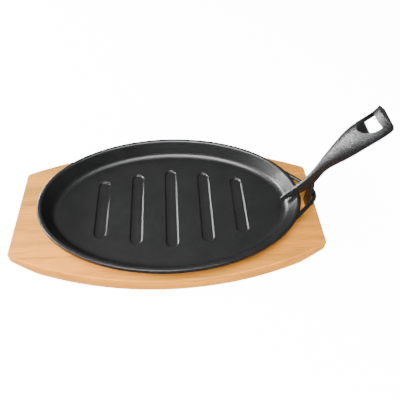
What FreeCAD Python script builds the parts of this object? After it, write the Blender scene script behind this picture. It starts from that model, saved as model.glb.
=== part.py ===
import FreeCAD, Part
import math
import os

import Sketcher

# Oval sizzle platter: a cast-iron plate with a looped ear, resting in a recess
# of a wooden serving board, and a loose cast-iron lift handle hooked over the
# plate's rim and down through the ear.
#
# Frame: millimetres, +Z up. The origin is the centre of the board's underside,
# +X runs along the long axis to the ear and the handle, and everything is
# symmetric about the XZ plane.

Vec = FreeCAD.Vector

# Lengths below which a place or an edge counts as exact, and as level or touching
TINY = 1e-6
NEAR = 1e-3

# Driving dimensions, each written once and kept in the sheet.
SIZES = [
    # Serving board
    ("board_length", 325.0),
    ("board_end_width", 110.0),
    ("board_side_margin", 0.5),
    ("board_thickness", 18.0),
    ("board_corner_radius", 5.0),
    ("board_edge_bevel", 0.9),
    ("bevel_length", 30.0),
    ("bevel_tip_thickness", 8.5),
    ("recess_depth", 3.0),
    ("recess_clearance", 1.5),
    ("plate_shift", 2.0),
    # Cast-iron plate
    ("rim_length", 279.0),
    ("rim_width", 180.0),
    ("plate_height", 21.0),
    ("floor_thickness", 4.5),
    ("lip_width", 4.2),
    ("lip_height", 4.4),
    ("lip_overhang", 2.0),
    ("outer_lean", 10.0),
    ("inner_lean", 9.5),
    ("floor_fillet", 8.0),
    ("foot_bevel", 2.0),
    ("lip_bevel", 0.9),
    # Grooves in the plate's floor
    ("groove_pitch", 37.3),
    ("groove_width", 13.2),
    ("groove_depth", 1.6),
    ("groove_length_centre", 106.0),
    ("groove_length_next", 95.5),
    ("groove_length_outer", 77.0),
    ("groove_wall_angle", 35.0),
    # Looped ear on the rim
    ("ear_reach", 18.6),
    ("ear_tip_radius", 18.5),
    ("ear_root_half_width", 34.8217),
    ("ear_bar_width", 4.4),
    ("ear_bar_height", 3.8),
    ("ear_drop", 0.6),
    ("ear_bevel", 1.2),
    # Lift handle
    ("handle_angle", 57.0),
    ("handle_reach", 119.2),
    ("tip_place", -17.3),
    ("tip_width", 4.4),
    ("tip_depth", 6.8),
    ("tip_rise", 10.4),
    ("saddle_place", -0.8),
    ("saddle_width", 5.0),
    ("saddle_depth", 10.6),
    ("saddle_rise", 10.0),
    ("fork_place", 13.2),
    ("fork_width", 6.0),
    ("fork_depth", 13.4),
    ("fork_rise", 9.6),
    ("neck_step", 20.0),
    ("neck_width", 7.4),
    ("neck_depth", 10.8),
    ("neck_rise", 11.4),
    ("waist_step", 16.0),
    ("waist_width", 12.6),
    ("waist_depth", 10.6),
    ("waist_rise", 15.0),
    ("shoulder_step", 13.0),
    ("shoulder_width", 21.0),
    ("shoulder_depth", 11.2),
    ("shoulder_rise", 17.0),
    ("palm_step", 15.0),
    ("palm_width", 29.4),
    ("palm_depth", 11.8),
    ("palm_rise", 18.8),
    ("grip_step", 21.0),
    ("grip_width", 33.0),
    ("grip_depth", 12.2),
    ("grip_rise", 17.4),
    ("end_step", 21.0),
    ("end_width", 34.0),
    ("end_depth", 11.8),
    ("end_rise", 16.4),
    ("crown_share", 0.27),
    ("end_corner_radius", 6.0),
    ("handle_bevel", 1.1),
    ("hang_hole_width", 23.0),
    ("hang_hole_length", 18.2),
    ("hang_hole_end_wall", 7.2),
    ("hang_hole_slope", 4.4),
    ("hang_hole_drop", 10.5),
    ("hollow_length", 21.0),
    ("hollow_margin", 3.5),
    ("hollow_roof", 3.2),
    ("tongue_width", 12.0),
    ("tongue_thickness", 4.2),
    ("tongue_bevel", 1.4),
    ("tongue_clearance", 0.5),
    ("tongue_root_place", 10.0),
    ("tongue_root_width", 8.6),
    ("tongue_root_thickness", 4.4),
    ("tongue_top_place", 24.0),
    ("tongue_top_width", 5.6),
    ("tongue_top_thickness", 3.8),
    ("tongue_lean", 1.3),
    ("seat_clearance", 0.3),
]

# Sizes that follow from the driving ones. The ear's legs run from its round tip to the
# middle of the rim's lip, and the handle's stations share out the bar from fork to end.
FOLLOWING = [
    ("board_middle_width", "rim_width + 2 * board_side_margin"),
    ("ear_centre_place", "rim_length / 2 + ear_reach - ear_tip_radius"),
    ("ear_root_place", "(rim_length - lip_width) / 2"
     " * sqrt(1 - pow(2 * ear_root_half_width / (rim_width - lip_width); 2))"),
    ("ear_flare_angle", "(atan2(ear_root_half_width; ear_centre_place - ear_root_place)"
     " - asin((ear_tip_radius - ear_bar_width / 2)"
     " / sqrt(pow(ear_centre_place - ear_root_place; 2) + pow(ear_root_half_width; 2)))) / 1 deg"),
    ("bar_stretch", "(handle_reach - fork_place)"
     " / (neck_step + waist_step + shoulder_step + palm_step + grip_step + end_step)"),
    ("neck_place", "fork_place + bar_stretch * neck_step"),
    ("waist_place", "neck_place + bar_stretch * waist_step"),
    ("shoulder_place", "waist_place + bar_stretch * shoulder_step"),
    ("palm_place", "shoulder_place + bar_stretch * palm_step"),
    ("grip_place", "palm_place + bar_stretch * grip_step"),
    ("hollow_start", "handle_reach - hollow_length"),
]

# Ovals that trace the rounded corner of the dish
CORNER_STEPS = 4

doc = FreeCAD.newDocument("SizzlePlatter")
sheet = doc.addObject("Spreadsheet::Sheet", "Sizes")
cells = [(alias, repr(value)) for alias, value in SIZES]
cells += [(alias, "=" + text) for alias, text in FOLLOWING]
for row, (alias, content) in enumerate(cells, start=1):
    sheet.set("A%d" % row, alias)
    sheet.setAlias("B%d" % row, alias)
    sheet.set("B%d" % row, content)
doc.recompute()


def size(name):
    """Value of one driving dimension."""
    return float(sheet.get(name))


def origin_plane(body, role):
    """One of a body's own origin planes."""
    for feature in body.Origin.OriginFeatures:
        if feature.Role == role:
            return feature
    raise ValueError(role)


def new_body(label):
    """An empty body whose label names its node."""
    body = doc.addObject("PartDesign::Body", "Body_" + label)
    body.Label = label
    return body


def sketch_on(body, name, role, lift=None, shift=None):
    """A sketch on an origin plane, lifted along its normal by a sheet formula."""
    sketch = body.newObject("Sketcher::SketchObject", name)
    sketch.AttachmentSupport = [(origin_plane(body, role), "")]
    sketch.MapMode = "FlatFace"
    if lift:
        sketch.setExpression("AttachmentOffset.Base.z", lift)
    if shift:
        sketch.setExpression("AttachmentOffset.Base.y", shift)
    return sketch


def bind(sketch, kind, args, value, formula):
    """A dimension whose value follows a sheet formula."""
    index = sketch.addConstraint(Sketcher.Constraint(kind, *args, value))
    sketch.setExpression("Constraints[%d]" % index, formula)


def rule(sketch, kind, *args):
    """A geometric constraint."""
    sketch.addConstraint(Sketcher.Constraint(kind, *args))


def ellipse_sketch(body, name, lift, half_length, half_width, formulas):
    """An ellipse about the origin with bound axes."""
    sketch = sketch_on(body, name, "XY_Plane", lift)
    curve = Part.Ellipse(Vec(-half_length, 0, 0), Vec(0, -half_width, 0), Vec(0, 0, 0))
    sketch.addGeometry(curve, False)
    sketch.exposeInternalGeometry(0)
    rule(sketch, "Coincident", 0, 3, -1, 1)
    rule(sketch, "Horizontal", 1)
    bind(sketch, "Distance", (1,), 2 * half_length, formulas[0])
    bind(sketch, "Distance", (2,), 2 * half_width, formulas[1])
    return sketch


def pin(sketch, geometry, end, x, x_text, y, y_text):
    """Both coordinates of one end of a line or arc, each following a sheet formula."""
    for kind, value, text, axis in (("DistanceX", x, x_text, -2), ("DistanceY", y, y_text, -1)):
        if abs(value) < TINY:
            rule(sketch, "PointOnObject", geometry, end, axis)
        elif value > 0:
            bind(sketch, kind, (-1, 1, geometry, end), value, text)
        else:
            bind(sketch, kind, (geometry, end, -1, 1), -value, "-(%s)" % text)


def edges_where(shape, test):
    """Names of the edges of a shape that pass a test."""
    return ["Edge%d" % (i + 1) for i, edge in enumerate(shape.Edges) if test(edge)]


def fillet(body, name, names, formula, value):
    """A fillet on named edges of the body's last feature."""
    feature = body.newObject("PartDesign::Fillet", name)
    feature.Base = (body.Group[-2], names)
    feature.Radius = value
    feature.setExpression("Radius", formula)
    doc.recompute()
    return feature


def chamfer(body, name, names, formula, value):
    """A bevel on named edges of the body's last feature."""
    feature = body.newObject("PartDesign::Chamfer", name)
    feature.Base = (body.Group[-2], names)
    feature.Size = value
    feature.setExpression("Size", formula)
    doc.recompute()
    return feature


# Levels that the pieces share
LEVELS = {
    "board_top": "Sizes.board_thickness",
    "plate_foot": "Sizes.board_thickness - Sizes.recess_depth",
    "plate_floor": "Sizes.board_thickness - Sizes.recess_depth + Sizes.floor_thickness",
    "rim_top": "Sizes.board_thickness - Sizes.recess_depth + Sizes.plate_height",
}
board_top = size("board_thickness")
plate_foot = board_top - size("recess_depth")
rim_top = plate_foot + size("plate_height")
half_rim = size("rim_length") / 2


# Serving board: a slab with straight ends and bowed long edges
board = new_body("serving_board")
outline = sketch_on(board, "BoardOutline", "XY_Plane")
half_len = size("board_length") / 2
half_end = size("board_end_width") / 2
half_mid = size("board_middle_width") / 2
bow = half_mid - half_end
bow_radius = (half_len ** 2 + bow ** 2) / (2 * bow)
bow_centre = half_mid - bow_radius
sweep = math.asin(half_len / bow_radius)
up = math.pi / 2
outline.addGeometry([
    Part.LineSegment(Vec(half_len, -half_end, 0), Vec(half_len, half_end, 0)),
    Part.ArcOfCircle(Part.Circle(Vec(0, bow_centre, 0), Vec(0, 0, 1), bow_radius),
                     up - sweep, up + sweep),
    Part.LineSegment(Vec(-half_len, half_end, 0), Vec(-half_len, -half_end, 0)),
    Part.ArcOfCircle(Part.Circle(Vec(0, -bow_centre, 0), Vec(0, 0, 1), bow_radius),
                     up - sweep + math.pi, up + sweep + math.pi),
], False)
rule(outline, "Coincident", 0, 2, 1, 1)
rule(outline, "Coincident", 1, 2, 2, 1)
rule(outline, "Coincident", 2, 2, 3, 1)
rule(outline, "Coincident", 3, 2, 0, 1)
rule(outline, "Symmetric", 0, 1, 0, 2, -1)
rule(outline, "Symmetric", 2, 1, 2, 2, -1)
rule(outline, "Symmetric", 0, 2, 2, 1, -2)
bind(outline, "Distance", (0,), 2 * half_end, "Sizes.board_end_width")
bind(outline, "DistanceX", (2, 1, 0, 2), 2 * half_len, "Sizes.board_length")
BOW = ("(pow(Sizes.board_length / 2; 2) + pow((Sizes.board_middle_width - Sizes.board_end_width) / 2; 2))"
       " / (Sizes.board_middle_width - Sizes.board_end_width)")
bind(outline, "Radius", (1,), bow_radius, BOW)
bind(outline, "Radius", (3,), bow_radius, BOW)

slab = board.newObject("PartDesign::Pad", "Slab")
slab.Profile = outline
slab.setExpression("Length", "Sizes.board_thickness")
doc.recompute()

upright = edges_where(slab.Shape, lambda e: abs(e.BoundBox.ZLength - board_top) < TINY)
fillet(board, "BoardCorners", upright, "Sizes.board_corner_radius", size("board_corner_radius"))

bevels = sketch_on(board, "FingerBevels", "XZ_Plane")
bevel_in = half_len - size("bevel_length")
bevel_rise = board_top - size("bevel_tip_thickness")
for side in (1, -1):
    first = bevels.GeometryCount
    inner = Vec(side * bevel_in, 0, 0)
    low = Vec(side * half_len, 0, 0)
    high = Vec(side * half_len, bevel_rise, 0)
    bevels.addGeometry([
        Part.LineSegment(inner, low),
        Part.LineSegment(low, high),
        Part.LineSegment(high, inner),
    ], False)
    for k in range(3):
        rule(bevels, "Coincident", first + k, 2, first + (k + 1) % 3, 1)
    rule(bevels, "PointOnObject", first, 1, -1)
    rule(bevels, "PointOnObject", first, 2, -1)
    rule(bevels, "Vertical", first + 1)
    bind(bevels, "Distance", (first,), size("bevel_length"), "Sizes.bevel_length")
    bind(bevels, "Distance", (first + 1,), bevel_rise, "Sizes.board_thickness - Sizes.bevel_tip_thickness")
    end = (first, 2)
    pair = (-1, 1) + end if side > 0 else end + (-1, 1)
    bind(bevels, "DistanceX", pair, half_len, "Sizes.board_length / 2")
finger = board.newObject("PartDesign::Pocket", "FingerGrips")
finger.Profile = bevels
finger.Type = "ThroughAll"
finger.Midplane = True
doc.recompute()

foot_half = half_rim - size("lip_overhang") - size("outer_lean")
foot_side = size("rim_width") / 2 - size("lip_overhang") - size("outer_lean")
FOOT = ["Sizes.rim_length - 2 * (Sizes.lip_overhang + Sizes.outer_lean)",
        "Sizes.rim_width - 2 * (Sizes.lip_overhang + Sizes.outer_lean)"]
rise_share = size("recess_depth") / (size("plate_height") - size("lip_height"))
RECESS_GROWTH = (" + 2 * (Sizes.recess_clearance + Sizes.outer_lean * Sizes.recess_depth"
                 " / (Sizes.plate_height - Sizes.lip_height))")
growth = size("recess_clearance") + size("outer_lean") * rise_share
recess_oval = ellipse_sketch(board, "RecessOval", LEVELS["board_top"], foot_half + growth,
                             foot_side + growth, [text + RECESS_GROWTH for text in FOOT])
recess_oval.setExpression("AttachmentOffset.Base.x", "Sizes.plate_shift")
recess = board.newObject("PartDesign::Pocket", "PlateRecess")
recess.Profile = recess_oval
recess.setExpression("Length", "Sizes.recess_depth")
doc.recompute()


def board_rim_edge(edge):
    """Top and bottom edges of the board's outline."""
    box = edge.BoundBox
    flat = box.ZLength < TINY
    at_level = abs(box.ZMin - board_top) < TINY or abs(box.ZMin) < TINY
    centred = abs(edge.CenterOfMass.y) < NEAR
    inside = centred and box.XLength > size("bevel_length") and box.YLength > half_end
    crosses = box.XLength < TINY and abs(box.ZMin) < TINY
    return flat and at_level and not inside and not crosses


chamfer(board, "BoardEdges", edges_where(recess.Shape, board_rim_edge), "Sizes.board_edge_bevel",
        size("board_edge_bevel"))


# Cast-iron plate: a looped ear and an oval dish, cast as one piece
ear_body = new_body("ear_loop")
ear_body.setExpression("Placement.Base.x", "Sizes.plate_shift")
ear_centre = size("ear_centre_place")
ear_root = size("ear_root_place")
EAR_FLOOR = LEVELS["rim_top"] + " - Sizes.ear_drop - Sizes.ear_bar_height"
ear_outline = sketch_on(ear_body, "EarLoop", "XY_Plane", EAR_FLOOR)
flare = math.radians(size("ear_flare_angle"))
ear_outer = size("ear_tip_radius")
ear_inner = ear_outer - size("ear_bar_width")


def ear_side(radius, sign):
    """Where one flared side leaves the tip arc and where it ends inside the wall."""
    touch = Vec(ear_centre + radius * math.sin(flare), sign * radius * math.cos(flare), 0)
    root_y = abs(touch.y) + (touch.x - ear_root) * math.tan(flare)
    return touch, Vec(ear_root, sign * root_y, 0)


out_low, out_low_root = ear_side(ear_outer, -1)
out_high, out_high_root = ear_side(ear_outer, 1)
in_low, in_low_root = ear_side(ear_inner, -1)
in_high, in_high_root = ear_side(ear_inner, 1)
ear_middle = Vec(ear_centre, 0, 0)
ear_circle = [Part.Circle(ear_middle, Vec(0, 0, 1), radius) for radius in (ear_outer, ear_inner)]
ear_outline.addGeometry([
    Part.ArcOfCircle(ear_circle[0], flare - up, up - flare),
    Part.LineSegment(out_high, out_high_root),
    Part.LineSegment(out_high_root, in_high_root),
    Part.LineSegment(in_high_root, in_high),
    Part.ArcOfCircle(ear_circle[1], flare - up, up - flare),
    Part.LineSegment(in_low, in_low_root),
    Part.LineSegment(in_low_root, out_low_root),
    Part.LineSegment(out_low_root, out_low),
], False)
rule(ear_outline, "Tangent", 0, 2, 1, 1)
rule(ear_outline, "Coincident", 1, 2, 2, 1)
rule(ear_outline, "Coincident", 2, 2, 3, 1)
rule(ear_outline, "Tangent", 3, 2, 4, 2)
rule(ear_outline, "Tangent", 4, 1, 5, 1)
rule(ear_outline, "Coincident", 5, 2, 6, 1)
rule(ear_outline, "Coincident", 6, 2, 7, 1)
rule(ear_outline, "Tangent", 7, 2, 0, 1)
rule(ear_outline, "PointOnObject", 0, 3, -1)
rule(ear_outline, "Coincident", 0, 3, 4, 3)
rule(ear_outline, "Symmetric", 1, 2, 6, 2, -1)
rule(ear_outline, "Symmetric", 2, 2, 5, 2, -1)
rule(ear_outline, "Vertical", 2)
bind(ear_outline, "Radius", (0,), ear_outer, "Sizes.ear_tip_radius")
bind(ear_outline, "Radius", (4,), ear_inner, "Sizes.ear_tip_radius - Sizes.ear_bar_width")
bind(ear_outline, "DistanceX", (-1, 1, 0, 3), ear_centre, "Sizes.ear_centre_place")
bind(ear_outline, "DistanceX", (-1, 1, 2, 1), ear_root, "Sizes.ear_root_place")
bind(ear_outline, "Angle", (1,), math.pi - flare, "180 deg - Sizes.ear_flare_angle * 1 deg")
ear = ear_body.newObject("PartDesign::Pad", "EarBar")
ear.Profile = ear_outline
ear.setExpression("Length", "Sizes.ear_bar_height")
doc.recompute()
level_names = edges_where(ear.Shape, lambda e: e.BoundBox.ZLength < TINY and e.BoundBox.XLength > NEAR)
chamfer(ear_body, "EarBevels", level_names, "Sizes.ear_bevel", size("ear_bevel"))

dish_body = new_body("oval_dish")
dish_body.setExpression("Placement.Base.x", "Sizes.plate_shift")
LIP_UNDER = LEVELS["rim_top"] + " - Sizes.lip_height"
foot_oval = ellipse_sketch(dish_body, "FootOval", LEVELS["plate_foot"], foot_half, foot_side, FOOT)
neck_half = half_rim - size("lip_overhang")
neck_side = size("rim_width") / 2 - size("lip_overhang")
neck_oval = ellipse_sketch(dish_body, "UnderLipOval", LIP_UNDER, neck_half, neck_side,
                           ["Sizes.rim_length - 2 * Sizes.lip_overhang",
                            "Sizes.rim_width - 2 * Sizes.lip_overhang"])
doc.recompute()
lip_oval = ellipse_sketch(dish_body, "LipOval", LIP_UNDER, half_rim, size("rim_width") / 2,
                          ["Sizes.rim_length", "Sizes.rim_width"])
lip = dish_body.newObject("PartDesign::Pad", "Lip")
lip.Profile = lip_oval
lip.setExpression("Length", "Sizes.lip_height")
doc.recompute()
wall = dish_body.newObject("PartDesign::AdditiveLoft", "OuterWall")
wall.Profile = foot_oval
wall.Sections = [neck_oval]
wall.Ruled = True
doc.recompute()

# Dish: ovals up the rounded corner between the floor and the leaning wall, then the mouth
mouth_half = half_rim - size("lip_width")
mouth_side = size("rim_width") / 2 - size("lip_width")
MOUTH = ["Sizes.rim_length - 2 * Sizes.lip_width", "Sizes.rim_width - 2 * Sizes.lip_width"]
LEAN = "atan(Sizes.inner_lean / (Sizes.plate_height - Sizes.floor_thickness))"
lean = math.atan(size("inner_lean") / (size("plate_height") - size("floor_thickness")))
corner_radius = size("floor_fillet")
tangent_in = corner_radius * math.tan((up - lean) / 2)
dish_ovals = []
for step in range(CORNER_STEPS + 1):
    share = step / CORNER_STEPS
    turn = share * (up - lean)
    inset = size("inner_lean") + tangent_in - corner_radius * math.sin(turn)
    TURN = "(%g * (90 deg - %s))" % (share, LEAN)
    INSET = (" - 2 * (Sizes.inner_lean + Sizes.floor_fillet * (tan((90 deg - %s) / 2) - sin%s))"
             % (LEAN, TURN))
    LEVEL = LEVELS["plate_floor"] + " + Sizes.floor_fillet * (1 - cos%s)" % TURN
    dish_ovals.append(ellipse_sketch(dish_body, "DishOval%d" % step, LEVEL, mouth_half - inset,
                                     mouth_side - inset, [text + INSET for text in MOUTH]))
mouth_oval = ellipse_sketch(dish_body, "MouthOval", LEVELS["rim_top"], mouth_half, mouth_side, MOUTH)
dish_ovals.append(mouth_oval)
doc.recompute()
dish = dish_body.newObject("PartDesign::SubtractiveLoft", "Dish")
dish.Profile = dish_ovals[0]
dish.Sections = dish_ovals[1:]
dish.Ruled = True
doc.recompute()


def level_edge(level, least):
    """Test for level edges at one height that are longer than a least length."""
    def test(edge):
        box = edge.BoundBox
        return box.ZLength < NEAR and abs(box.ZMin - level) < NEAR and edge.Length > least
    return test


foot_soft = chamfer(dish_body, "FootBevel", edges_where(dish.Shape, level_edge(plate_foot, half_rim)),
                    "Sizes.foot_bevel", size("foot_bevel"))
chamfer(dish_body, "LipBevels", edges_where(foot_soft.Shape, level_edge(rim_top, half_rim)),
        "Sizes.lip_bevel", size("lip_bevel"))

grooves = sketch_on(dish_body, "Grooves", "XY_Plane", LEVELS["plate_floor"])
GROOVES = [(0, "groove_length_centre"), (1, "groove_length_next"), (-1, "groove_length_next"),
           (2, "groove_length_outer"), (-2, "groove_length_outer")]
groove_radius = size("groove_width") / 2
for place, length_name in GROOVES:
    x = place * size("groove_pitch")
    straight = size(length_name) / 2 - groove_radius
    first = grooves.GeometryCount
    grooves.addGeometry([
        Part.ArcOfCircle(Part.Circle(Vec(x, straight, 0), Vec(0, 0, 1), groove_radius), 0, math.pi),
        Part.LineSegment(Vec(x - groove_radius, straight, 0), Vec(x - groove_radius, -straight, 0)),
        Part.ArcOfCircle(Part.Circle(Vec(x, -straight, 0), Vec(0, 0, 1), groove_radius),
                         math.pi, 2 * math.pi),
        Part.LineSegment(Vec(x + groove_radius, -straight, 0), Vec(x + groove_radius, straight, 0)),
    ], False)
    for k in range(4):
        rule(grooves, "Tangent", first + k, 2, first + (k + 1) % 4, 1)
    rule(grooves, "Vertical", first + 1)
    rule(grooves, "Symmetric", first, 3, first + 2, 3, -1)
    bind(grooves, "Radius", (first,), groove_radius, "Sizes.groove_width / 2")
    bind(grooves, "DistanceY", (first + 2, 3, first, 3), 2 * straight,
         "Sizes.%s - Sizes.groove_width" % length_name)
    if place:
        pair = (-1, 1, first, 3) if place > 0 else (first, 3, -1, 1)
        bind(grooves, "DistanceX", pair, abs(x), "%d * Sizes.groove_pitch" % abs(place))
    else:
        rule(grooves, "PointOnObject", first, 3, -2)
groove_cut = dish_body.newObject("PartDesign::Pocket", "GrooveCut")
groove_cut.Profile = grooves
groove_cut.setExpression("Length", "Sizes.groove_depth")
groove_cut.setExpression("TaperAngle", "-Sizes.groove_wall_angle * 1 deg")
doc.recompute()
plate = doc.addObject("Part::Fuse", "PlateWithEar")
plate.Base = dish_body
plate.Tool = ear_body
plate.Label = "sizzle_plate"
doc.recompute()


# Lift handle: a lofted bar that crosses the rim, with a tongue down through the ear.
# Its own frame has +X up along the bar and its origin on the rim's lip.
handle = new_body("lift_handle")
angle = size("handle_angle")
saddle_x = half_rim - size("lip_width") / 2
handle.Placement = FreeCAD.Placement(Vec(saddle_x + size("plate_shift"), 0, rim_top),
                                     FreeCAD.Rotation(Vec(0, -1, 0), angle))
handle.setExpression("Placement.Base.x", "Sizes.plate_shift + Sizes.rim_length / 2 - Sizes.lip_width / 2")
handle.setExpression("Placement.Base.z", LEVELS["rim_top"])
handle.setExpression("Placement.Rotation.Angle", "Sizes.handle_angle * 1 deg")
doc.recompute()

# Each station along the bar: its name and the formula of its place
STATIONS = [(name, "Sizes.%s_place" % name)
            for name in ("tip", "saddle", "fork", "neck", "waist", "shoulder", "palm", "grip")]
STATIONS.append(("end", "Sizes.handle_reach"))
crown_share = size("crown_share")
bevel = size("handle_bevel")
sections = []
for name, place in STATIONS:
    width = size(name + "_width")
    depth = size(name + "_depth")
    crown = crown_share * width
    section = sketch_on(handle, "Section_" + name, "YZ_Plane", place,
                        "Sizes.%s_rise - Sizes.%s_depth" % (name, name))
    half = width / 2
    crown_radius = (half ** 2 + crown ** 2) / (2 * crown)
    centre_v = depth - crown_radius
    flat = half - bevel
    side_top = depth - crown - bevel
    crest_low = centre_v + math.sqrt(crown_radius ** 2 - flat ** 2)
    spread = math.asin(flat / crown_radius)
    HALF = "Sizes.%s_width / 2" % name
    FLAT = HALF + " - Sizes.handle_bevel"
    RADIUS = "Sizes.%s_width * (0.25 + pow(Sizes.crown_share; 2)) / (2 * Sizes.crown_share)" % name
    SIDE_TOP = "Sizes.%s_depth - Sizes.crown_share * Sizes.%s_width - Sizes.handle_bevel" % (name, name)
    CREST_LOW = "Sizes.%s_depth - %s + sqrt(pow(%s; 2) - pow(%s; 2))" % (name, RADIUS, RADIUS, FLAT)
    right = [(flat, FLAT, 0, ""), (half, HALF, bevel, "Sizes.handle_bevel"),
             (half, HALF, side_top, SIDE_TOP), (flat, FLAT, crest_low, CREST_LOW)]
    left = [(-x, "-(%s)" % x_text, y, y_text) for x, x_text, y, y_text in reversed(right)]
    ring = right + left
    for k in range(8):
        here = ring[k]
        there = ring[(k + 1) % 8]
        if k == 3:
            crest = Part.Circle(Vec(0, centre_v, 0), Vec(0, 0, 1), crown_radius)
            section.addGeometry(Part.ArcOfCircle(crest, up - spread, up + spread), False)
        else:
            section.addGeometry(Part.LineSegment(Vec(here[0], here[2], 0), Vec(there[0], there[2], 0)), False)
    for k in range(8):
        rule(section, "Coincident", k, 2, (k + 1) % 8, 1)
        pin(section, k, 1, *ring[k])
    bind(section, "Radius", (3,), crown_radius, RADIUS)
    sections.append(section)
doc.recompute()
bar = handle.newObject("PartDesign::AdditiveLoft", "Bar")
bar.Profile = sections[0]
bar.Sections = sections[1:]
bar.Ruled = False
doc.recompute()


def arch_outline(sketch, start_u, end_u, half_width, formulas):
    """A hole outline with one round end and one straight end."""
    centre_u = start_u + half_width
    sketch.addGeometry([
        Part.ArcOfCircle(Part.Circle(Vec(centre_u, 0, 0), Vec(0, 0, 1), half_width), up, up + math.pi),
        Part.LineSegment(Vec(centre_u, -half_width, 0), Vec(end_u, -half_width, 0)),
        Part.LineSegment(Vec(end_u, -half_width, 0), Vec(end_u, half_width, 0)),
        Part.LineSegment(Vec(end_u, half_width, 0), Vec(centre_u, half_width, 0)),
    ], False)
    rule(sketch, "Tangent", 0, 2, 1, 1)
    rule(sketch, "Coincident", 1, 2, 2, 1)
    rule(sketch, "Coincident", 2, 2, 3, 1)
    rule(sketch, "Tangent", 3, 2, 0, 1)
    rule(sketch, "PointOnObject", 0, 3, -1)
    rule(sketch, "Horizontal", 1)
    rule(sketch, "Vertical", 2)
    bind(sketch, "Radius", (0,), half_width, formulas[0])
    bind(sketch, "DistanceX", (-1, 1, 0, 3), centre_u, formulas[1])
    bind(sketch, "DistanceX", (-1, 1, 1, 2), end_u, formulas[2])


# Rounded corners of the grip
reach = size("handle_reach")
corner = size("end_corner_radius")
half_wide = size("end_width") / 2
beyond = corner / 2
trim = sketch_on(handle, "EndTrim", "XY_Plane")
for sign in (1, -1):
    first = trim.GeometryCount
    path = [Vec(reach - corner, sign * half_wide, 0),
            Vec(reach - corner, sign * (half_wide + beyond), 0),
            Vec(reach + beyond, sign * (half_wide + beyond), 0),
            Vec(reach + beyond, sign * (half_wide - corner), 0),
            Vec(reach, sign * (half_wide - corner), 0)]
    trim.addGeometry([Part.LineSegment(path[k], path[k + 1]) for k in range(4)], False)
    sagitta = corner * (1 - math.sin(up / 2))
    middle = Vec(reach - sagitta, sign * (half_wide - sagitta), 0)
    trim.addGeometry(Part.Arc(path[4], middle, path[0]), False)
    for k in range(3):
        rule(trim, "Coincident", first + k, 2, first + k + 1, 1)
    rule(trim, "Vertical", first)
    rule(trim, "Horizontal", first + 1)
    rule(trim, "Vertical", first + 2)
    rule(trim, "Horizontal", first + 3)
    near_arc = 1 if (trim.getPoint(first + 4, 1) - path[4]).Length < NEAR else 2
    rule(trim, "Coincident", first + 3, 2, first + 4, near_arc)
    rule(trim, "Coincident", first, 1, first + 4, 3 - near_arc)
    bind(trim, "Radius", (first + 4,), corner, "Sizes.end_corner_radius")
    bind(trim, "DistanceX", (-1, 1, first, 1), reach - corner,
         "Sizes.handle_reach - Sizes.end_corner_radius")
    bind(trim, "DistanceX", (-1, 1, first + 3, 2), reach, "Sizes.handle_reach")
    bind(trim, "DistanceX", (-1, 1, first + 2, 1), reach + beyond,
         "Sizes.handle_reach + Sizes.end_corner_radius / 2")
    for point, value, text in [
        ((first, 1), half_wide, ""),
        ((first, 2), half_wide + beyond, " + Sizes.end_corner_radius / 2"),
        ((first + 3, 2), half_wide - corner, " - Sizes.end_corner_radius"),
    ]:
        pair = (-1, 1) + point if sign > 0 else point + (-1, 1)
        bind(trim, "DistanceY", pair, value, "Sizes.end_width / 2" + text)
doc.recompute()
end_cut = handle.newObject("PartDesign::Pocket", "EndCorners")
end_cut.Profile = trim
end_cut.Type = "ThroughAll"
end_cut.Midplane = True
doc.recompute()

# Hollow under the end of the grip, arched like the crown above it
hollow = sketch_on(handle, "Hollow", "YZ_Plane", "Sizes.handle_reach - Sizes.hollow_margin")
roof_radius = size("end_width") * (0.25 + crown_share ** 2) / (2 * crown_share) - size("hollow_roof")
roof_centre = size("end_rise") - size("hollow_roof") - roof_radius
hollow_half = size("end_width") / 2 - size("hollow_margin")
hollow_spread = math.asin(hollow_half / roof_radius)
hollow_side = roof_centre + roof_radius * math.cos(hollow_spread)
hollow_low = size("end_rise") - 2 * size("end_depth")
hollow.addGeometry([
    Part.ArcOfCircle(Part.Circle(Vec(0, roof_centre, 0), Vec(0, 0, 1), roof_radius),
                     up - hollow_spread, up + hollow_spread),
    Part.LineSegment(Vec(-hollow_half, hollow_side, 0), Vec(-hollow_half, hollow_low, 0)),
    Part.LineSegment(Vec(-hollow_half, hollow_low, 0), Vec(hollow_half, hollow_low, 0)),
    Part.LineSegment(Vec(hollow_half, hollow_low, 0), Vec(hollow_half, hollow_side, 0)),
], False)
for k in range(4):
    rule(hollow, "Coincident", k, 2, (k + 1) % 4, 1)
rule(hollow, "PointOnObject", 0, 3, -2)
rule(hollow, "Vertical", 1)
rule(hollow, "Vertical", 3)
rule(hollow, "Symmetric", 1, 2, 2, 2, -2)
bind(hollow, "Distance", (2,), 2 * hollow_half, "Sizes.end_width - 2 * Sizes.hollow_margin")
ROOF_RADIUS = ("(Sizes.end_width * (0.25 + pow(Sizes.crown_share; 2)) / (2 * Sizes.crown_share)"
               " - Sizes.hollow_roof)")
bind(hollow, "Radius", (0,), roof_radius, ROOF_RADIUS)
bind(hollow, "DistanceY", (0, 3, -1, 1), -roof_centre,
     "-(Sizes.end_rise - Sizes.hollow_roof - %s)" % ROOF_RADIUS)
bind(hollow, "DistanceY", (2, 1, -1, 1), -hollow_low, "2 * Sizes.end_depth - Sizes.end_rise")
hollow_cut = handle.newObject("PartDesign::Pocket", "HollowCut")
hollow_cut.Profile = hollow
hollow_cut.setExpression("Length", "Sizes.handle_reach - Sizes.hollow_margin - Sizes.hollow_start")
doc.recompute()

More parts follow.
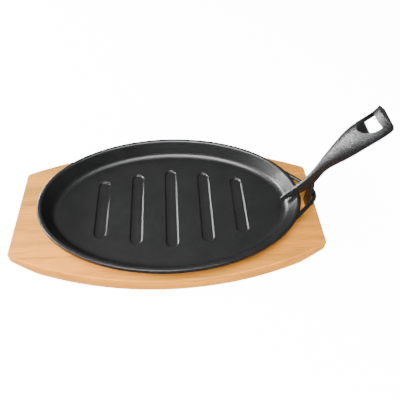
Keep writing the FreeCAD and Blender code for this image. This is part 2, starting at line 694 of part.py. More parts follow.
# Hanging hole, round and sloped at its lower end, straight at its upper end
hole_end = reach - size("hang_hole_end_wall")
hole_half = size("hang_hole_width") / 2
HOLE_END = "Sizes.handle_reach - Sizes.hang_hole_end_wall"
HOLE_HALF = "Sizes.hang_hole_width / 2"
outlines = []
for name, level, cut_short, extra in [
    ("HoleTop", "Sizes.palm_rise", 0.0, ""),
    ("HoleUnder", "Sizes.palm_rise - Sizes.hang_hole_drop", size("hang_hole_slope"),
     " + Sizes.hang_hole_slope"),
]:
    hole = sketch_on(handle, name, "XY_Plane", level)
    start = hole_end - size("hang_hole_length") + cut_short
    arch_outline(hole, start, hole_end, hole_half,
                 [HOLE_HALF, HOLE_END + " - Sizes.hang_hole_length + " + HOLE_HALF + extra, HOLE_END])
    outlines.append(hole)
doc.recompute()
hang = handle.newObject("PartDesign::SubtractiveLoft", "HangingHole")
hang.Profile = outlines[0]
hang.Sections = [outlines[1]]
hang.Ruled = True
doc.recompute()

# Tongue: level sections from just above the board up into the bar
tongue_side = size("tongue_width") / 2 - size("tongue_bevel")
tongue_x = (ear_centre - saddle_x - size("tongue_thickness") / 2
            + math.sqrt((ear_inner - size("tongue_clearance")) ** 2 - tongue_side ** 2))
TONGUE_X = ("Sizes.ear_reach - Sizes.ear_tip_radius + Sizes.lip_width / 2 - Sizes.tongue_thickness / 2"
            " + sqrt(pow(Sizes.ear_tip_radius - Sizes.ear_bar_width - Sizes.tongue_clearance; 2)"
            " - pow(Sizes.tongue_width / 2 - Sizes.tongue_bevel; 2))")
DROP = "-(Sizes.plate_height - Sizes.recess_depth - Sizes.seat_clearance)"
tongue_sections = []
for name, level, sized, setback, setback_text in [
    ("TongueFoot", DROP, "tongue", 0.0, ""),
    ("TongueEar", "0", "tongue", 0.0, ""),
    ("TongueRoot", "Sizes.tongue_root_place", "tongue_root", 0.0, ""),
    ("TongueTop", "Sizes.tongue_top_place", "tongue_top", size("tongue_lean"), " - Sizes.tongue_lean"),
]:
    section = handle.newObject("Sketcher::SketchObject", name)
    section.AttachmentSupport = [(origin_plane(handle, "XY_Plane"), "")]
    section.MapMode = "FlatFace"
    section.AttachmentOffset = FreeCAD.Placement(Vec(0, 0, 0), FreeCAD.Rotation(Vec(0, 1, 0), angle))
    section.setExpression("AttachmentOffset.Rotation.Angle", "Sizes.handle_angle * 1 deg")
    section.setExpression("AttachmentOffset.Base.x", "(%s) * sin(Sizes.handle_angle * 1 deg)" % level)
    section.setExpression("AttachmentOffset.Base.z", "(%s) * cos(Sizes.handle_angle * 1 deg)" % level)
    x = tongue_x - setback
    thick = size(sized + "_thickness") / 2
    wide = size(sized + "_width") / 2
    cut = size("tongue_bevel")
    MIDDLE = TONGUE_X + setback_text
    THICK = "Sizes.%s_thickness / 2" % sized
    WIDE = "Sizes.%s_width / 2" % sized
    CUT = " - Sizes.tongue_bevel"
    quarter = [(thick, THICK, wide - cut, WIDE + CUT), (thick - cut, THICK + CUT, wide, WIDE)]
    back = quarter[::-1]
    ring = []
    for sign_x, sign_y, turned in ((1, 1, quarter), (-1, 1, back), (-1, -1, quarter), (1, -1, back)):
        for dx, dx_text, dy, dy_text in turned:
            ring.append((x + sign_x * dx, "%s + %d * (%s)" % (MIDDLE, sign_x, dx_text),
                         sign_y * dy, "%d * (%s)" % (sign_y, dy_text)))
    section.addGeometry([
        Part.LineSegment(Vec(ring[k][0], ring[k][2], 0), Vec(ring[(k + 1) % 8][0], ring[(k + 1) % 8][2], 0))
        for k in range(8)], False)
    for k in range(8):
        rule(section, "Coincident", k, 2, (k + 1) % 8, 1)
        pin(section, k, 1, *ring[k])
    tongue_sections.append(section)
doc.recompute()
tongue = handle.newObject("PartDesign::AdditiveLoft", "Tongue")
tongue.Profile = tongue_sections[0]
tongue.Sections = tongue_sections[1:]
tongue.Ruled = True
doc.recompute()

# Notch that sits over the rim's lip, drawn level in the side view
notch = handle.newObject("Sketcher::SketchObject", "RimNotch")
notch.AttachmentSupport = [(origin_plane(handle, "XZ_Plane"), "")]
notch.MapMode = "FlatFace"
notch.AttachmentOffset = FreeCAD.Placement(Vec(0, 0, 0), FreeCAD.Rotation(Vec(0, 0, -1), angle))
notch.setExpression("AttachmentOffset.Rotation.Angle", "Sizes.handle_angle * 1 deg")
notch_half = size("lip_width") / 2 + size("seat_clearance")
notch_drop = size("plate_height")
notch_shift = notch_drop * size("inner_lean") / (size("plate_height") - size("floor_thickness"))
points = [Vec(-notch_half, 0, 0), Vec(notch_half, 0, 0), Vec(notch_half, -notch_drop, 0),
          Vec(-notch_half - notch_shift, -notch_drop, 0)]
notch.addGeometry([Part.LineSegment(points[k], points[(k + 1) % 4]) for k in range(4)], False)
for k in range(4):
    rule(notch, "Coincident", k, 2, (k + 1) % 4, 1)
rule(notch, "Horizontal", 2)
rule(notch, "Vertical", 1)
rule(notch, "Symmetric", 0, 1, 0, 2, -1, 1)
bind(notch, "Distance", (0,), 2 * notch_half, "Sizes.lip_width + 2 * Sizes.seat_clearance")
bind(notch, "Distance", (1,), notch_drop, "Sizes.plate_height")
bind(notch, "DistanceX", (2, 2, 2, 1), 2 * notch_half + notch_shift,
     "Sizes.lip_width + 2 * Sizes.seat_clearance"
     " + Sizes.plate_height * Sizes.inner_lean / (Sizes.plate_height - Sizes.floor_thickness)")
notch_cut = handle.newObject("PartDesign::Pocket", "NotchCut")
notch_cut.Profile = notch
notch_cut.Type = "ThroughAll"
notch_cut.Midplane = True
doc.recompute()

pieces = (board, plate, handle)
broken = [obj.Name for obj in doc.Objects if "Invalid" in obj.State or "Error" in obj.State]
if broken:
    raise RuntimeError("features that did not compute: " + ", ".join(broken))
for piece in pieces:
    if piece.Shape.isNull() or not piece.Shape.isValid():
        raise RuntimeError("no valid solid for " + piece.Label)
os.makedirs("parts", exist_ok=True)
for piece in pieces:
    piece.Shape.exportStep("parts/%s.step" % piece.Label)
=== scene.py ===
"""Sizzle platter: looks for the iron plate, the glued serving board and the lift handle.

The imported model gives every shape. This script puts cast-iron finishes on the plate and
the handle, cuts the board into its glued strips, and sets up a plain studio seen from
the photo's side. Lengths are in metres, but for the lens.
"""

import logging
import math
from abc import ABC, abstractmethod
from dataclasses import dataclass
from enum import Enum

import bpy
from mathutils import Matrix, Vector

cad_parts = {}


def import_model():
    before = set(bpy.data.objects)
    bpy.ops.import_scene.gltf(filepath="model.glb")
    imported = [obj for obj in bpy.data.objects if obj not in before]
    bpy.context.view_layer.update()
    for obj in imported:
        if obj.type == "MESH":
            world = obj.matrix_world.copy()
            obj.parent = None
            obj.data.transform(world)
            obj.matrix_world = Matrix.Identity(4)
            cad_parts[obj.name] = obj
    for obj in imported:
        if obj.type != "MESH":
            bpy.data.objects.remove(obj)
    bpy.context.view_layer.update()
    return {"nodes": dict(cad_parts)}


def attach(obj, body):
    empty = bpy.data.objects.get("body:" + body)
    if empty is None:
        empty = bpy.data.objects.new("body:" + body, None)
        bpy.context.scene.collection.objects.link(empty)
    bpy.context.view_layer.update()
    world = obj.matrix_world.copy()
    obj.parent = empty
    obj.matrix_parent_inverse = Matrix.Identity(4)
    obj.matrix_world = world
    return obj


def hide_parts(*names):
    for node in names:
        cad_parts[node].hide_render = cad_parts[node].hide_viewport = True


logging.basicConfig(level=logging.INFO, format="%(message)s")
LOG = logging.getLogger("sizzle_platter")

Rgb = tuple[float, float, float]
Rgba = tuple[float, float, float, float]
Point = tuple[float, float, float]
Span = tuple[float, float]
Socket = bpy.types.NodeSocket
Number = Socket | float

WHITE: Rgba = (1.0, 1.0, 1.0, 1.0)


class Node(Enum):
    """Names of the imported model's nodes."""

    BOARD = "serving_board"
    PLATE = "sizzle_plate"
    HANDLE = "lift_handle"


class Tree(Enum):
    """Kinds of node group."""

    SHADER = "ShaderNodeTree"
    GEOMETRY = "GeometryNodeTree"


class Kind(Enum):
    """Kinds of socket on a node group."""

    NUMBER = "NodeSocketFloat"
    WHOLE = "NodeSocketInt"
    COLOUR = "NodeSocketColor"
    GEOMETRY = "NodeSocketGeometry"
    MATERIAL = "NodeSocketMaterial"


class Out(Enum):
    """Names of the values that a surface group hands to its shader."""

    COLOUR = "Colour"
    ROUGHNESS = "Roughness"
    HEIGHT = "Height"


SURFACE_OUTPUTS = {Out.COLOUR.value: Kind.COLOUR, Out.ROUGHNESS.value: Kind.NUMBER,
                   Out.HEIGHT.value: Kind.NUMBER}


@dataclass(frozen=True)
class GroupInput:
    """A named input of a node group, with the value that its user gives it."""

    name: str
    kind: Kind
    value: object = None
    limits: Span | None = None


@dataclass(frozen=True)
class Layers:
    """How many layers a noise has, and how strong the fine ones are."""

    detail: float
    rough: float


class GroupGraph:
    """A node group with a short way to add nodes and join sockets."""

    # A Mix node has sockets of one name for each kind of value. These are the colours.
    MIX_COLOURS = (6, 7)
    MIX_RESULT = 2

    def __init__(self, name: str, kind: Tree, inputs: tuple[GroupInput, ...],
                 outputs: dict[str, Kind]) -> None:
        """Starts a group that has its sockets and nothing else.

        Args:
            name: the group's name.
            kind: whether it is for shading or for geometry.
            inputs: the inputs in order.
            outputs: the outputs' names and kinds in order.
        """
        self.tree = bpy.data.node_groups.new(name, kind.value)
        self.identifiers: dict[str, str] = {}
        sockets = self.tree.interface
        for given in inputs:
            socket = sockets.new_socket(given.name, in_out="INPUT", socket_type=given.kind.value)
            if given.value is not None:
                socket.default_value = given.value
            if given.limits is not None:
                socket.min_value, socket.max_value = given.limits
            self.identifiers[given.name] = socket.identifier
        for label, result in outputs.items():
            sockets.new_socket(label, in_out="OUTPUT", socket_type=result.value)
        self.given = self.tree.nodes.new("NodeGroupInput").outputs
        self.results = self.tree.nodes.new("NodeGroupOutput").inputs

    def add(self, kind: str, **settings: object) -> bpy.types.Node:
        """Adds a node.

        Args:
            kind: the node type's name.
            **settings: attributes set on the new node.

        Returns:
            The new node.
        """
        node = self.tree.nodes.new(kind)
        for name, value in settings.items():
            setattr(node, name, value)
        return node

    def after(self, geometry: Socket, kind: str, **settings: object) -> bpy.types.Node:
        """Adds a node that takes a geometry in its first input.

        Args:
            geometry: the geometry's socket.
            kind: the node type's name.
            **settings: attributes set on the new node.

        Returns:
            The new node.
        """
        node = self.add(kind, **settings)
        self.join(geometry, node.inputs[0])
        return node

    def join(self, start: Socket, end: Socket) -> None:
        """Links an output socket to an input socket."""
        self.tree.links.new(start, end)

    def feed(self, value: Number | Point, socket: Socket) -> None:
        """Links a socket or sets a value.

        Args:
            value: an output socket, or the value to set.
            socket: the input that receives it.
        """
        if isinstance(value, Socket):
            self.join(value, socket)
        else:
            socket.default_value = value

    def calc(self, operation: str, first: Number, second: Number = 0.0) -> Socket:
        """Adds a math node.

        Args:
            operation: the node's operation.
            first: a socket or number.
            second: a socket or number.

        Returns:
            The result socket.
        """
        node = self.add("ShaderNodeMath", operation=operation)
        self.feed(first, node.inputs[0])
        self.feed(second, node.inputs[1])
        return node.outputs[0]

    def vector(self, operation: str, first: Socket, second: Socket | Point) -> Socket:
        """Adds a vector math node.

        Args:
            operation: the node's operation.
            first: a vector socket.
            second: a vector socket, or the vector itself.

        Returns:
            The result socket.
        """
        node = self.add("ShaderNodeVectorMath", operation=operation)
        self.feed(first, node.inputs[0])
        self.feed(second, node.inputs[1])
        return node.outputs[0]

    def combine(self, x: Number = 0.0, y: Number = 0.0, z: Number = 0.0) -> Socket:
        """Makes a vector of three numbers.

        Args:
            x: along the object.
            y: across it.
            z: upwards.

        Returns:
            The vector socket.
        """
        node = self.add("ShaderNodeCombineXYZ")
        for value, socket in zip((x, y, z), node.inputs):
            self.feed(value, socket)
        return node.outputs[0]

    def parts(self, vector: Socket) -> tuple[Socket, ...]:
        """Splits a vector into its three numbers.

        Args:
            vector: the vector socket.

        Returns:
            The sockets of x, y and z.
        """
        node = self.add("ShaderNodeSeparateXYZ")
        self.join(vector, node.inputs[0])
        return tuple(node.outputs)

    def noise(self, place: Socket, scale: Socket, layers: Layers) -> Socket:
        """Adds a noise texture.

        Args:
            place: where the noise is read.
            scale: how fine it is.
            layers: how its fine layers add to it.

        Returns:
            The noise value socket.
        """
        node = self.add("ShaderNodeTexNoise", noise_dimensions="3D")
        self.join(place, node.inputs["Vector"])
        self.join(scale, node.inputs["Scale"])
        node.inputs["Detail"].default_value = layers.detail
        node.inputs["Roughness"].default_value = layers.rough
        return node.outputs[0]

    def spread(self, value: Socket, span: Span, low: Number = 0.0, high: Number = 1.0) -> Socket:
        """Maps a value from one range to another, held at its ends.

        Args:
            value: the socket to map.
            span: lower and upper limit of the value.
            low: result at the lower limit.
            high: result at the upper limit.

        Returns:
            The mapped value socket.
        """
        node = self.add("ShaderNodeMapRange", clamp=True)
        self.join(value, node.inputs["Value"])
        node.inputs["From Min"].default_value, node.inputs["From Max"].default_value = span
        self.feed(low, node.inputs["To Min"])
        self.feed(high, node.inputs["To Max"])
        return node.outputs[0]

    def weigh(self, share: Number, first: Socket, second: Socket) -> Socket:
        """Adds two values by weight.

        Args:
            share: the weight of the second. The first has the rest.
            first: a value socket.
            second: a value socket.

        Returns:
            The result socket.
        """
        rest = self.calc("SUBTRACT", 1.0, share)
        return self.calc("ADD", self.calc("MULTIPLY", first, rest),
                         self.calc("MULTIPLY", second, share))

    def blend(self, share: Socket, first: Socket, second: Socket) -> Socket:
        """Mixes two colours.

        Args:
            share: how much of the second shows.
            first: a colour socket.
            second: a colour socket.

        Returns:
            The mixed colour socket.
        """
        node = self.add("ShaderNodeMix", data_type="RGBA")
        self.join(share, node.inputs[0])
        for place, colour in zip(self.MIX_COLOURS, (first, second)):
            self.join(colour, node.inputs[place])
        return node.outputs[self.MIX_RESULT]


@dataclass(frozen=True, kw_only=True)
class Finish(ABC):
    """A material whose colour, roughness and relief come from a node group."""

    name: str
    bump_height: float
    edge_softness: float
    bevel_samples: int = 8

    @abstractmethod
    def inputs(self) -> tuple[GroupInput, ...]:
        """Lists the pattern group's inputs with this finish's own values."""

    @abstractmethod
    def pattern(self) -> bpy.types.NodeTree:
        """Gives the group that makes colour, roughness and height."""

    @abstractmethod
    def shader_values(self) -> dict[str, float]:
        """Lists the shader's plain values by socket name."""

    def material(self) -> bpy.types.Material:
        """Builds the material. Its edges look rounded, though their mesh is sharp.

        Returns:
            The finished material.
        """
        material = bpy.data.materials.new(self.name)
        material.use_nodes = True
        tree = material.node_tree
        shader = tree.nodes["Principled BSDF"]
        for name, value in self.shader_values().items():
            shader.inputs[name].default_value = value
        values = tree.nodes.new("ShaderNodeGroup")
        values.node_tree = self.pattern()
        for given in self.inputs():
            values.inputs[given.name].default_value = given.value
        edges = tree.nodes.new("ShaderNodeBevel")
        edges.samples = self.bevel_samples
        edges.inputs["Radius"].default_value = self.edge_softness
        relief = tree.nodes.new("ShaderNodeBump")
        relief.inputs["Distance"].default_value = self.bump_height
        relief.inputs["Strength"].default_value = 1.0
        tree.links.new(edges.outputs["Normal"], relief.inputs["Normal"])
        tree.links.new(values.outputs[Out.COLOUR.value], shader.inputs["Base Color"])
        tree.links.new(values.outputs[Out.ROUGHNESS.value], shader.inputs["Roughness"])
        tree.links.new(values.outputs[Out.HEIGHT.value], relief.inputs["Height"])
        tree.links.new(relief.outputs["Normal"], shader.inputs["Normal"])
        return material


@dataclass(frozen=True)
class IronSkin:
    """The pattern of all the cast iron: a fine grain, pits and slow, cloudy changes of tone."""

    name: str = "Cast iron skin"
    grain_layers: Layers = Layers(4.0, 0.62)
    cloud_layers: Layers = Layers(5.0, 0.55)
    cloud_share: float = 0.5
    tone_span: Span = (0.36, 0.64)
    shine_span: Span = (0.38, 0.62)
    pits_to_grains: float = 0.45
    pit_span: Span = (0.05, 0.35)

    def group(self, inputs: tuple[GroupInput, ...]) -> bpy.types.NodeTree:
        """Gives the node group, which is built the first time that an iron asks for it.

        Args:
            inputs: the group's inputs in order.

        Returns:
            The node group.
        """
        shared = bpy.data.node_groups.get(self.name)
        if shared:
            return shared
        graph = GroupGraph(self.name, Tree.SHADER, inputs, SURFACE_OUTPUTS)
        given = graph.given
        place = graph.add("ShaderNodeTexCoord").outputs["Object"]
        grain = graph.noise(place, given["Grain Per Metre"], self.grain_layers)
        cloud = graph.noise(place, given["Cloud Per Metre"], self.cloud_layers)
        pits = graph.add("ShaderNodeTexVoronoi", feature="F1")
        graph.join(place, pits.inputs["Vector"])
        graph.join(graph.calc("MULTIPLY", given["Grain Per Metre"], self.pits_to_grains),
                   pits.inputs["Scale"])
        depth = graph.spread(pits.outputs["Distance"], self.pit_span)
        tone = graph.spread(graph.weigh(self.cloud_share, grain, cloud), self.tone_span)
        shine = graph.spread(grain, self.shine_span, given["Roughness Low"],
                             given["Roughness High"])
        height = graph.weigh(given["Pit Share"], grain, depth)
        graph.join(graph.blend(tone, given["Dark"], given["Light"]),
                   graph.results[Out.COLOUR.value])
        graph.join(shine, graph.results[Out.ROUGHNESS.value])
        graph.join(height, graph.results[Out.HEIGHT.value])
        return graph.tree


@dataclass(frozen=True, kw_only=True)
class IronFinish(Finish):
    """Sand-cast iron with its own tones, shine and grain on the shared skin."""

    dark: Rgb
    light: Rgb
    roughness: Span
    grain_per_metre: float
    pit_share: float
    cloud_per_metre: float = 45.0
    metallic: float = 0.0
    refraction: float = 1.5
    skin: IronSkin = IronSkin()

    def inputs(self) -> tuple[GroupInput, ...]:
        """Lists the iron skin's inputs with this iron's own values.

        Returns:
            The inputs in order.
        """
        low, high = self.roughness
        return (GroupInput("Dark", Kind.COLOUR, (*self.dark, 1.0)),
                GroupInput("Light", Kind.COLOUR, (*self.light, 1.0)),
                GroupInput("Roughness Low", Kind.NUMBER, low, (0.0, 1.0)),
                GroupInput("Roughness High", Kind.NUMBER, high, (0.0, 1.0)),
                GroupInput("Grain Per Metre", Kind.NUMBER, self.grain_per_metre, (1.0, 5000.0)),
                GroupInput("Cloud Per Metre", Kind.NUMBER, self.cloud_per_metre, (1.0, 500.0)),
                GroupInput("Pit Share", Kind.NUMBER, self.pit_share, (0.0, 1.0)))

    def pattern(self) -> bpy.types.NodeTree:
        """Gives the skin that all the cast iron shares."""
        return self.skin.group(self.inputs())

    def shader_values(self) -> dict[str, float]:
        """Lists the shader's plain values by socket name."""
        return {"Metallic": self.metallic, "IOR": self.refraction}


@dataclass(frozen=True, kw_only=True)
class WoodFinish(Finish):
    """Pale glued hardwood with its grain along the board."""

    pale: Rgb
    deep: Rgb
    streak: Rgb
    gloss: float = 0.05
    tone_attribute: str = "strip_tone"
    tone_share: float = 0.24
    slide_along: float = 3.7
    slide_up: float = 1.3
    figure_per_metre: float = 9.0
    figure_stretch: Point = (0.55, 9.0, 9.0)
    figure_layers: Layers = Layers(4.0, 0.55)
    figure_span: Span = (0.38, 0.62)
    pore_per_metre: float = 60.0
    pore_stretch: Point = (0.7, 22.0, 22.0)
    pore_layers: Layers = Layers(3.0, 0.6)
    streak_span: Span = (0.5, 0.68)
    streak_strength: float = 0.55
    shine_span: Span = (0.3, 0.7)
    roughness: Span = (0.42, 0.6)

    def inputs(self) -> tuple[GroupInput, ...]:
        """Lists the grain group's inputs with this wood's own values.

        Returns:
            The inputs in order.
        """
        return (GroupInput("Pale", Kind.COLOUR, (*self.pale, 1.0)),
                GroupInput("Deep", Kind.COLOUR, (*self.deep, 1.0)),
                GroupInput("Streak", Kind.COLOUR, (*self.streak, 1.0)),
                GroupInput("Figure Per Metre", Kind.NUMBER, self.figure_per_metre, (0.1, 100.0)),
                GroupInput("Pore Per Metre", Kind.NUMBER, self.pore_per_metre, (1.0, 500.0)))

    def pattern(self) -> bpy.types.NodeTree:
        """Builds the grain. Each strip reads it at a place of its own, moved by its tone.

        Returns:
            The node group.
        """
        graph = GroupGraph(self.name + " grain", Tree.SHADER, self.inputs(), SURFACE_OUTPUTS)
        given = graph.given
        place = graph.add("ShaderNodeTexCoord").outputs["Object"]
        tone = graph.add("ShaderNodeAttribute", attribute_name=self.tone_attribute).outputs["Fac"]
        slide = graph.combine(x=graph.calc("MULTIPLY", tone, self.slide_along),
                              z=graph.calc("MULTIPLY", tone, self.slide_up))
        own_place = graph.vector("ADD", place, slide)
        figure = graph.noise(graph.vector("MULTIPLY", own_place, self.figure_stretch),
                             given["Figure Per Metre"], self.figure_layers)
        pores = graph.noise(graph.vector("MULTIPLY", own_place, self.pore_stretch),
                            given["Pore Per Metre"], self.pore_layers)
        body = graph.blend(graph.spread(graph.weigh(self.tone_share, figure, tone),
                                        self.figure_span), given["Pale"], given["Deep"])
        lines = graph.spread(pores, self.streak_span, high=self.streak_strength)
        graph.join(graph.blend(lines, body, given["Streak"]), graph.results[Out.COLOUR.value])
        graph.join(graph.spread(pores, self.shine_span, *self.roughness),
                   graph.results[Out.ROUGHNESS.value])
        graph.join(graph.calc("SUBTRACT", 1.0, lines), graph.results[Out.HEIGHT.value])
        return graph.tree

    def shader_values(self) -> dict[str, float]:
        """Lists the shader's plain values by socket name."""
        return {"Specular IOR Level": self.gloss}


@dataclass
class CastPiece:
    """A cast-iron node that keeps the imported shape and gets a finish."""

    node: Node
    finish: IronFinish

    def build(self, nodes: dict[str, bpy.types.Object]) -> None:
        """Puts the finish on the node.

        Args:
            nodes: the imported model's objects by name.
        """
        piece = nodes[self.node.value]
        piece.data.materials.clear()
        piece.data.materials.append(self.finish.material())
        LOG.info("%s: %s, %d faces", self.node.value, self.finish.name, len(piece.data.polygons))


@dataclass
class GluedBoard:
    """The serving board, cut into the lengthwise strips it is glued from.

    The strips lie in a row across the board. The middle of the row is a little off the
    board's own, because of where the photo shows a joint.
    """

    finish: WoodFinish
    strip_width: float = 0.0335
    strip_count: int = 7
    row_middle: float = -0.0083
    seam: float = 0.0003
    weld: float = 0.000001
    seed: int = 4
    smooth_angle: float = math.radians(32.0)
    slab_to_board_length: float = 1.1
    slab_to_board_height: float = 3.0

    def inputs(self, wood: bpy.types.Material) -> tuple[GroupInput, ...]:
        """Lists the strip group's inputs with this board's own values.

        Args:
            wood: the strips' material.

        Returns:
            The inputs in order.
        """
        return (GroupInput("Geometry", Kind.GEOMETRY),
                GroupInput("Strip Width", Kind.NUMBER, self.strip_width, (0.005, 0.2)),
                GroupInput("Row Middle", Kind.NUMBER, self.row_middle, (-0.2, 0.2)),
                GroupInput("Seam", Kind.NUMBER, self.seam, (0.0, 0.002)),
                GroupInput("Smooth Angle", Kind.NUMBER, self.smooth_angle, (0.0, math.pi)),
                GroupInput("Strips", Kind.WHOLE, self.strip_count, (1, 40)),
                GroupInput("Seed", Kind.WHOLE, self.seed, (0, 1000)),
                GroupInput("Material", Kind.MATERIAL, wood))

    def slabs(self, graph: GroupGraph, board: Socket) -> Socket:
        """Lays a slab for each strip side by side, longer and higher than the board.

        Args:
            graph: the strip group.
            board: the board's geometry.

        Returns:
            The slabs' geometry.
        """
        given = graph.given
        box = graph.after(board, "GeometryNodeBoundBox")
        extent = graph.vector("SUBTRACT", box.outputs["Max"], box.outputs["Min"])
        length, _, height = graph.parts(extent)
        slab = graph.add("GeometryNodeMeshCube")
        graph.join(graph.combine(graph.calc("MULTIPLY", length, self.slab_to_board_length),
                                 graph.calc("SUBTRACT", given["Strip Width"], given["Seam"]),
                                 graph.calc("MULTIPLY", height, self.slab_to_board_height)),
                   slab.inputs["Size"])
        index = graph.add("GeometryNodeInputIndex").outputs[0]
        middle = graph.calc("MULTIPLY", graph.calc("SUBTRACT", given["Strips"], 1.0), 0.5)
        across = graph.calc("MULTIPLY", graph.calc("SUBTRACT", index, middle),
                            given["Strip Width"])
        row = graph.add("GeometryNodePoints")
        graph.join(given["Strips"], row.inputs["Count"])
        graph.join(graph.combine(y=graph.calc("ADD", across, given["Row Middle"])),
                   row.inputs["Position"])
        placed = graph.after(row.outputs[0], "GeometryNodeInstanceOnPoints")
        graph.join(slab.outputs["Mesh"], placed.inputs["Instance"])
        return graph.after(placed.outputs[0], "GeometryNodeRealizeInstances").outputs[0]

    def tone(self, graph: GroupGraph, strips: Socket) -> Socket:
        """Stores a chance tone on the faces of each strip, by the strip's number.

        Args:
            graph: the strip group.
            strips: the cut strips.

        Returns:
            The strips with their tones.
        """
        given = graph.given
        _, across, _ = graph.parts(graph.add("GeometryNodeInputPosition").outputs[0])
        beside = graph.calc("SUBTRACT", across, given["Row Middle"])
        steps = graph.calc("ROUND", graph.calc("DIVIDE", beside, given["Strip Width"]))
        chance = graph.add("FunctionNodeRandomValue", data_type="FLOAT")
        graph.join(graph.calc("ADD", steps, given["Strips"]), chance.inputs["ID"])
        graph.join(given["Seed"], chance.inputs["Seed"])
        stored = graph.after(strips, "GeometryNodeStoreNamedAttribute", data_type="FLOAT",
                             domain="FACE")
        stored.inputs["Name"].default_value = self.finish.tone_attribute
        graph.join(next(end for end in chance.outputs if end.enabled), stored.inputs["Value"])
        return stored.outputs[0]

    def shade(self, graph: GroupGraph, strips: Socket) -> Socket:
        """Shades the strips smooth, but for the edges past the smooth angle.

        Args:
            graph: the strip group.
            strips: the cut strips.

        Returns:
            The shaded strips.
        """
        sharp = graph.add("FunctionNodeCompare", data_type="FLOAT", operation="GREATER_THAN")
        graph.join(graph.add("GeometryNodeInputMeshEdgeAngle").outputs["Unsigned Angle"],
                   sharp.inputs[0])
        graph.join(graph.given["Smooth Angle"], sharp.inputs[1])
        faces = graph.after(strips, "GeometryNodeSetShadeSmooth", domain="FACE")
        edges = graph.after(faces.outputs[0], "GeometryNodeSetShadeSmooth", domain="EDGE")
        graph.join(sharp.outputs[0], edges.inputs["Selection"])
        edges.inputs["Shade Smooth"].default_value = False
        return edges.outputs[0]

    def strips_group(self, inputs: tuple[GroupInput, ...]) -> GroupGraph:
        """Builds the geometry group that slices a board into strips.

        Args:
            inputs: the group's inputs in order.

        Returns:
            The group.
        """
        graph = GroupGraph("Glued strips", Tree.GEOMETRY, inputs, {"Geometry": Kind.GEOMETRY})
        board = graph.after(graph.given["Geometry"], "GeometryNodeMergeByDistance")
        board.inputs["Distance"].default_value = self.weld
        cut = graph.add("GeometryNodeMeshBoolean", operation="INTERSECT", solver="EXACT")
        graph.join(board.outputs[0], cut.inputs["Mesh 2"])
        graph.join(self.slabs(graph, board.outputs[0]), cut.inputs["Mesh 2"])
        strips = self.shade(graph, self.tone(graph, cut.outputs[0]))
        whole = graph.after(strips, "GeometryNodeRealizeInstances")
        paint = graph.after(whole.outputs[0], "GeometryNodeSetMaterial")
        graph.join(graph.given["Material"], paint.inputs["Material"])
        graph.join(paint.outputs[0], graph.results[0])
        return graph

    def build(self, nodes: dict[str, bpy.types.Object]) -> None:
        """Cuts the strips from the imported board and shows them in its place.

        Args:
            nodes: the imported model's objects by name.
        """
        source = nodes[Node.BOARD.value]
        carrier = bpy.data.objects.new("board_strips_source", source.data.copy())
        bpy.context.scene.collection.objects.link(carrier)
        inputs = self.inputs(self.finish.material())
        group = self.strips_group(inputs)
        modifier = carrier.modifiers.new("Strips", "NODES")
        modifier.node_group = group.tree
        for given in inputs:
            if given.value is not None:
                modifier[group.identifiers[given.name]] = given.value
        mesh = plain_mesh(carrier, "board_strips")
        bpy.data.objects.remove(carrier)
        strips = bpy.data.objects.new("board_strips", mesh)
        bpy.context.scene.collection.objects.link(strips)
        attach(strips, "root")
        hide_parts(Node.BOARD.value)
        LOG.info("board_strips: %d strips, %d faces", self.strip_count, len(mesh.polygons))


def plain_mesh(source: bpy.types.Object, name: str) -> bpy.types.Mesh:
    """Evaluates an object's modifiers into a plain mesh.

    Args:
        source: the object with its modifiers.
        name: the new mesh's name.

    Returns:
        The evaluated mesh.
    """
    bpy.context.view_layer.update()
    graph = bpy.context.evaluated_depsgraph_get()
    mesh = bpy.data.meshes.new_from_object(source.evaluated_get(graph))
    mesh.name = name
    return mesh


@dataclass
class SoftLight:
    """A square soft box aimed at the platter. Its box shows in shiny surfaces if it shines."""

    name: str
    place: Point
    side: float
    power: float
    shines: bool = True
    aim: Point = (0.0, 0.0, 0.02)

    def build(self) -> None:
        """Adds the light."""
        data = bpy.data.lights.new(self.name, "AREA")
        data.shape = "SQUARE"
        data.size = self.side
        data.energy = self.power
        lamp = bpy.data.objects.new(self.name, data)
        direction = Vector(self.aim) - Vector(self.place)
        turn = direction.to_track_quat("-Z", "Y").to_matrix().to_4x4()
        lamp.matrix_world = Matrix.Translation(self.place) @ turn
        lamp.visible_glossy = self.shines
        bpy.context.scene.collection.objects.link(lamp)
        LOG.info("light %s: %.1f W", self.name, self.power)


@dataclass
class PhotoCamera:
    """The camera where the photo was taken from: angles in degrees, lens in millimetres."""

    azimuth: float = 5.761
    elevation: float = 51.081
    roll: float = 2.565
    place: Point = (0.00524, -0.27574, 0.37149)
    lens: float = 36.62
    sensor: float = 36.0
    near_limit: float = 0.01

    def turn(self) -> Matrix:
        """Works out how the camera is turned.

        Returns:
            The turn as a 4 by 4 matrix.
        """
        azimuth, elevation, roll = map(math.radians, (self.azimuth, self.elevation, self.roll))
        ahead = Vector((math.cos(elevation) * math.sin(azimuth),
                        math.cos(elevation) * math.cos(azimuth), -math.sin(elevation)))
        right = Vector((math.cos(azimuth), -math.sin(azimuth), 0.0))
        above = right.cross(ahead)
        right, above = (right * math.cos(roll) + above * math.sin(roll),
                        above * math.cos(roll) - right * math.sin(roll))
        return Matrix((right, above, -ahead)).transposed().to_4x4()

    def build(self) -> None:
        """Adds the camera and makes it the scene's."""
        data = bpy.data.cameras.new("photo_camera")
        data.lens = self.lens
        data.sensor_width = self.sensor
        data.sensor_fit = "HORIZONTAL"
        data.clip_start = self.near_limit
        camera = bpy.data.objects.new("photo_camera", data)
        camera.matrix_world = Matrix.Translation(self.place) @ self.turn()
        bpy.context.scene.collection.objects.link(camera)
        bpy.context.scene.camera = camera
        LOG.info("photo_camera: %.2f mm lens", self.lens)


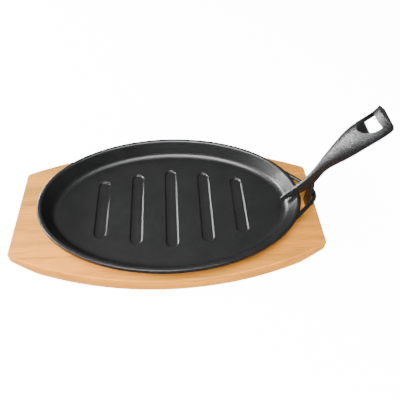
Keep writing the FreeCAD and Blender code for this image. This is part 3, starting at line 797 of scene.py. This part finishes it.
@dataclass
class Studio:
    """A plain white floor that glows, an even surround and soft boxes."""

    lights: tuple[SoftLight, ...]
    floor_side: float = 6.0
    floor_tone: float = 0.92
    floor_roughness: float = 0.9
    floor_glow: float = 12.0
    surround: float = 0.22

    def floor_material(self) -> bpy.types.Material:
        """Builds the floor's material.

        Returns:
            The finished material.
        """
        material = bpy.data.materials.new("Pale floor")
        material.use_nodes = True
        shader = material.node_tree.nodes["Principled BSDF"]
        tone = self.floor_tone
        shader.inputs["Base Color"].default_value = (tone, tone, tone, 1.0)
        shader.inputs["Roughness"].default_value = self.floor_roughness
        shader.inputs["Emission Color"].default_value = WHITE
        shader.inputs["Emission Strength"].default_value = self.floor_glow
        return material

    def lay_floor(self) -> None:
        """Adds the floor, which neither lights the platter nor shows in it."""
        half = self.floor_side / 2
        mesh = bpy.data.meshes.new("floor")
        corners = [(-half, -half, 0.0), (half, -half, 0.0), (half, half, 0.0), (-half, half, 0.0)]
        mesh.from_pydata(corners, [], [(0, 1, 2, 3)])
        mesh.materials.append(self.floor_material())
        floor = bpy.data.objects.new("floor", mesh)
        bpy.context.scene.collection.objects.link(floor)
        floor.visible_glossy = False
        floor.visible_diffuse = False

    def build(self) -> None:
        """Adds the floor, the surround and the lights."""
        self.lay_floor()
        world = bpy.data.worlds.new("Surround")
        world.use_nodes = True
        backdrop = world.node_tree.nodes["Background"]
        backdrop.inputs["Color"].default_value = WHITE
        backdrop.inputs["Strength"].default_value = self.surround
        bpy.context.scene.world = world
        for light in self.lights:
            light.build()
        LOG.info("studio: floor, surround and %d lights", len(self.lights))


PLATE_IRON = IronFinish(name="Seasoned cast iron", dark=(0.002, 0.0021, 0.0022),
                        light=(0.005, 0.0051, 0.0054), roughness=(0.29, 0.34),
                        grain_per_metre=900.0, pit_share=0.04, bump_height=0.0002,
                        edge_softness=0.0016)
HANDLE_IRON = IronFinish(name="Rough cast iron", dark=(0.002, 0.0021, 0.0022),
                         light=(0.007, 0.0072, 0.0076), roughness=(0.2, 0.36),
                         grain_per_metre=1000.0, pit_share=0.25, bump_height=0.0005,
                         edge_softness=0.0012)
PALE_WOOD = WoodFinish(name="Pale hardwood", pale=(0.60, 0.222, 0.026),
                       deep=(0.33, 0.152, 0.022), streak=(0.22, 0.08, 0.013),
                       bump_height=0.00012, edge_softness=0.0009)

# The boxes stand where the highlights in the photo come from. The front fill only
# brightens the wood, and doesn't show in the iron.
LIGHTS = (
    SoftLight("left_box", place=(-1.45, 0.03, 0.52), side=0.3, power=50.0),
    SoftLight("back_left_box", place=(-1.2, 1.0, 0.28), side=0.45, power=74.0),
    SoftLight("front_left_box", place=(-1.3, -0.7, 0.62), side=0.5, power=6.5),
    SoftLight("back_box", place=(-0.05, 1.0, 1.05), side=1.2, power=1.6),
    SoftLight("top_box", place=(-0.2, -0.4, 1.05), side=0.66, power=36.0),
    SoftLight("front_fill", place=(0.0, -1.2, 0.2), side=0.6, power=44.0, shines=False),
)


def main() -> None:
    """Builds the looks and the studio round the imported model."""
    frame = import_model()
    pieces = (CastPiece(Node.PLATE, PLATE_IRON), CastPiece(Node.HANDLE, HANDLE_IRON),
              GluedBoard(PALE_WOOD))
    for piece in pieces:
        piece.build(frame["nodes"])
    Studio(LIGHTS).build()
    PhotoCamera().build()


if __name__ == "__main__":
    main()
